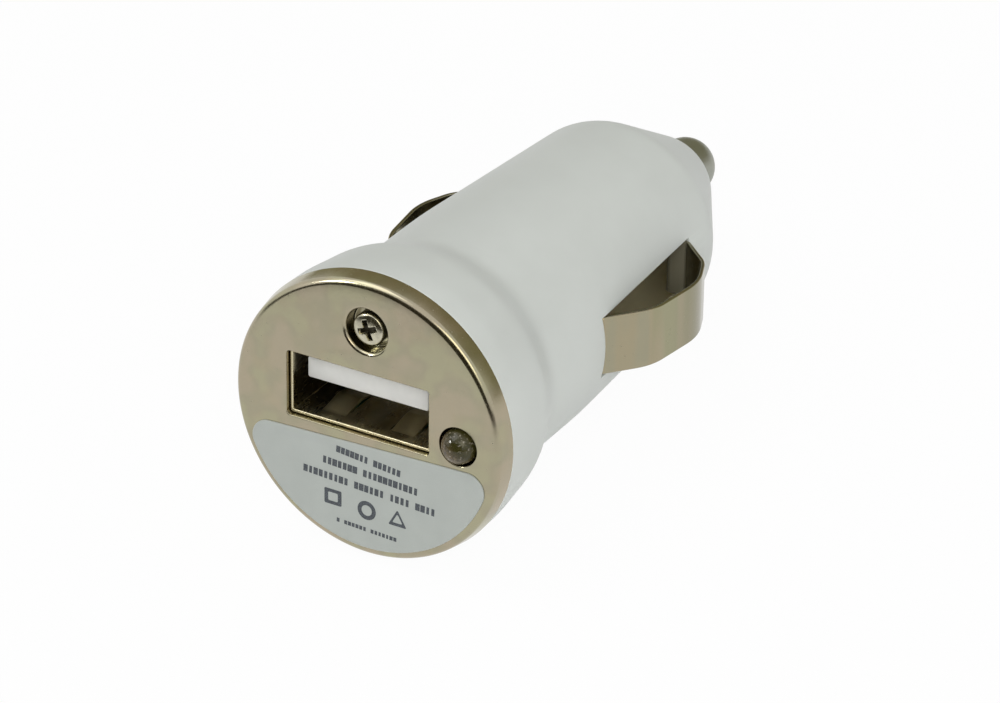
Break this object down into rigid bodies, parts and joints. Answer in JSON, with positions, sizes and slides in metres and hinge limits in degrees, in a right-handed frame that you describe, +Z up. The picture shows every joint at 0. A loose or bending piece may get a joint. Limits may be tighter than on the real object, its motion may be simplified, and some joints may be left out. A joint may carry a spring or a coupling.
{
  "type": "car usb charger plug",
  "caption": "Short round plug for a 12 V vehicle socket, with a type A power outlet in its metal face, sprung side contacts and a sprung centre pin.",
  "frame": {"origin": "centre of the face plate's front, on the plug's axis", "axes": "+Y along the plug's axis from the face to the nose, +X along the outlet's long side to the lamp, +Z up towards the face screw"},
  "size_m": [0.0268, 0.0567, 0.0248],
  "materials": {
    "white_plastic": "satin",
    "nickel_plate": "satin",
    "label_paper": "satin",
    "screw_steel": "polished",
    "outlet_steel": "satin",
    "tongue_plastic": "satin",
    "contact_brass": "polished",
    "lamp_clear": "gloss",
    "lead_wire": "satin",
    "leaf_nickel": "satin",
    "pin_nickel": "satin",
    "spring_wire": "satin",
    "board_green": "satin",
    "chip_black": "matte",
    "ferrite": "matte",
    "copper_wire": "gloss",
    "capacitor_sleeve": "gloss",
    "ceramic_tan": "satin"
  },
  "bodies": {
    "plug": {"housing": "white_plastic", "face_plate": "nickel_plate", "rating_label": "label_paper", "face_screw": "screw_steel", "usb_shell": "outlet_steel", "usb_insulator": "tongue_plastic", "usb_contact_1": "contact_brass", "usb_contact_2": "contact_brass", "usb_contact_3": "contact_brass", "usb_contact_4": "contact_brass", "led_lens": "lamp_clear", "led_lead_upper": "lead_wire", "led_lead_lower": "lead_wire", "tip_spring": "spring_wire", "spring_cup": "contact_brass", "circuit_board": "board_green", "regulator_chip": "chip_black", "rectifier_diode": "chip_black", "inductor_core": "ferrite", "inductor_winding": "copper_wire", "input_capacitor": "capacitor_sleeve", "output_capacitor": "capacitor_sleeve", "sense_resistor": "chip_black", "led_resistor": "chip_black", "ceramic_capacitor": "ceramic_tan"},
    "contact_left": {"side_contact_left": "leaf_nickel"},
    "contact_right": {"side_contact_right": "leaf_nickel"},
    "centre_pin": {"tip_contact": "pin_nickel"}
  },
  "joints": [
    {"name": "left_press", "type": "slide", "parent": "plug", "child": "contact_left", "axis": [1, 0, 0], "range_m": [0, 0.0034], "stiffness_N_per_m": 1200},
    {"name": "right_press", "type": "slide", "parent": "plug", "child": "contact_right", "axis": [-1, 0, 0], "range_m": [0, 0.0034], "stiffness_N_per_m": 1200},
    {"name": "pin_press", "type": "slide", "parent": "plug", "child": "centre_pin", "axis": [0, -1, 0], "range_m": [0, 0.0022], "stiffness_N_per_m": 900, "deforming": ["tip_spring"]}
  ]
}
